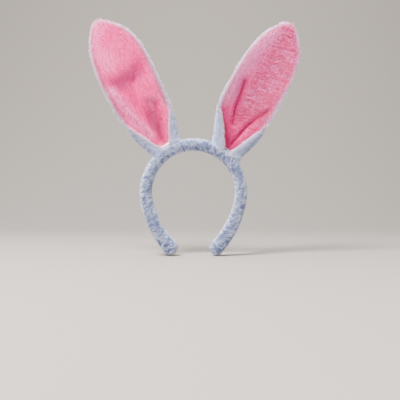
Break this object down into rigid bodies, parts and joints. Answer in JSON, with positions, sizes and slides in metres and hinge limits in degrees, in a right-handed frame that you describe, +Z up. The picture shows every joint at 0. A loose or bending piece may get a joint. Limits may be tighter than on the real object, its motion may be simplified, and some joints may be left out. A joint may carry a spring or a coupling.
{
  "type": "animal ears headband",
  "caption": "Padded plush head hoop with long soft animal ears, white behind and pink in front, that tilt and fold on bendable wire; its springy legs spread to grip the head.",
  "frame": {"origin": "underside of the hoop's crown, in its middle, where the top of the head touches", "axes": "+Z up through the crown and along the ears, +Y towards the white backs of the ears, -Y towards their pink fronts"},
  "size_m": [0.2669, 0.0247, 0.2992],
  "materials": {
    "white_plush": "short clumpy plush pile",
    "pink_plush": "short brushed plush pile",
    "foam": "soft foam wrap",
    "batting": "polyester batting",
    "core_plastic": "satin moulded strip",
    "wire": "galvanised wire",
    "thread": "sewing thread"
  },
  "bodies": {
    "crown": {"core_crown": "core_plastic", "padding_crown": "foam", "sleeve_crown": "white_plush", "sleeve_seam_crown": "thread", "hem_front_left_ear": "white_plush", "hem_back_left_ear": "white_plush", "wire_foot_left_ear": "wire", "stitching_left_ear": "thread", "hem_front_right_ear": "white_plush", "hem_back_right_ear": "white_plush", "wire_foot_right_ear": "wire", "stitching_right_ear": "thread"},
    "left_arm": {"core_left_arm": "core_plastic", "padding_left_arm": "foam", "sleeve_left_arm": "white_plush", "sleeve_seam_left_arm": "thread", "tip_cap_left_arm": "white_plush"},
    "right_arm": {"core_right_arm": "core_plastic", "padding_right_arm": "foam", "sleeve_right_arm": "white_plush", "sleeve_seam_right_arm": "thread", "tip_cap_right_arm": "white_plush"},
    "left_ear_lower": {"front_left_ear_lower": "pink_plush", "back_left_ear_lower": "white_plush", "batting_left_ear_lower": "batting", "wire_inner_left_ear_lower": "wire", "wire_outer_left_ear_lower": "wire"},
    "left_ear_upper": {"front_left_ear_upper": "pink_plush", "back_left_ear_upper": "white_plush", "batting_left_ear_upper": "batting", "wire_left_ear_upper": "wire"},
    "right_ear_lower": {"front_right_ear_lower": "pink_plush", "back_right_ear_lower": "white_plush", "batting_right_ear_lower": "batting", "wire_inner_right_ear_lower": "wire", "wire_outer_right_ear_lower": "wire"},
    "right_ear_upper": {"front_right_ear_upper": "pink_plush", "back_right_ear_upper": "white_plush", "batting_right_ear_upper": "batting", "wire_right_ear_upper": "wire"}
  },
  "joints": [
    {"name": "left_arm_flex", "type": "hinge", "parent": "crown", "child": "left_arm", "pos_m": [-0.05348, 0, -0.02512], "axis": [0, 1, 0], "range_deg": [-5, 25], "stiffness_Nm_per_rad": 0.45},
    {"name": "right_arm_flex", "type": "hinge", "parent": "crown", "child": "right_arm", "pos_m": [0.05348, 0, -0.02512], "axis": [0, -1, 0], "range_deg": [-5, 25], "stiffness_Nm_per_rad": 0.45},
    {"name": "left_ear_tilt", "type": "hinge", "parent": "crown", "child": "left_ear_lower", "pos_m": [-0.0365, 0, 0.00853], "axis": [0.8729, 0, 0.4879], "range_deg": [-35, 45]},
    {"name": "left_ear_fold", "type": "hinge", "parent": "left_ear_lower", "child": "left_ear_upper", "pos_m": [-0.08134, -0.00569, 0.08877], "axis": [0.8729, 0, 0.4879], "range_deg": [-15, 75]},
    {"name": "right_ear_tilt", "type": "hinge", "parent": "crown", "child": "right_ear_lower", "pos_m": [0.0409, 0, 0.00558], "axis": [0.8788, 0, -0.4772], "range_deg": [-35, 45]},
    {"name": "right_ear_fold", "type": "hinge", "parent": "right_ear_lower", "child": "right_ear_upper", "pos_m": [0.08427, -0.00351, 0.08545], "axis": [0.8788, 0, -0.4772], "range_deg": [-15, 75]}
  ]
}
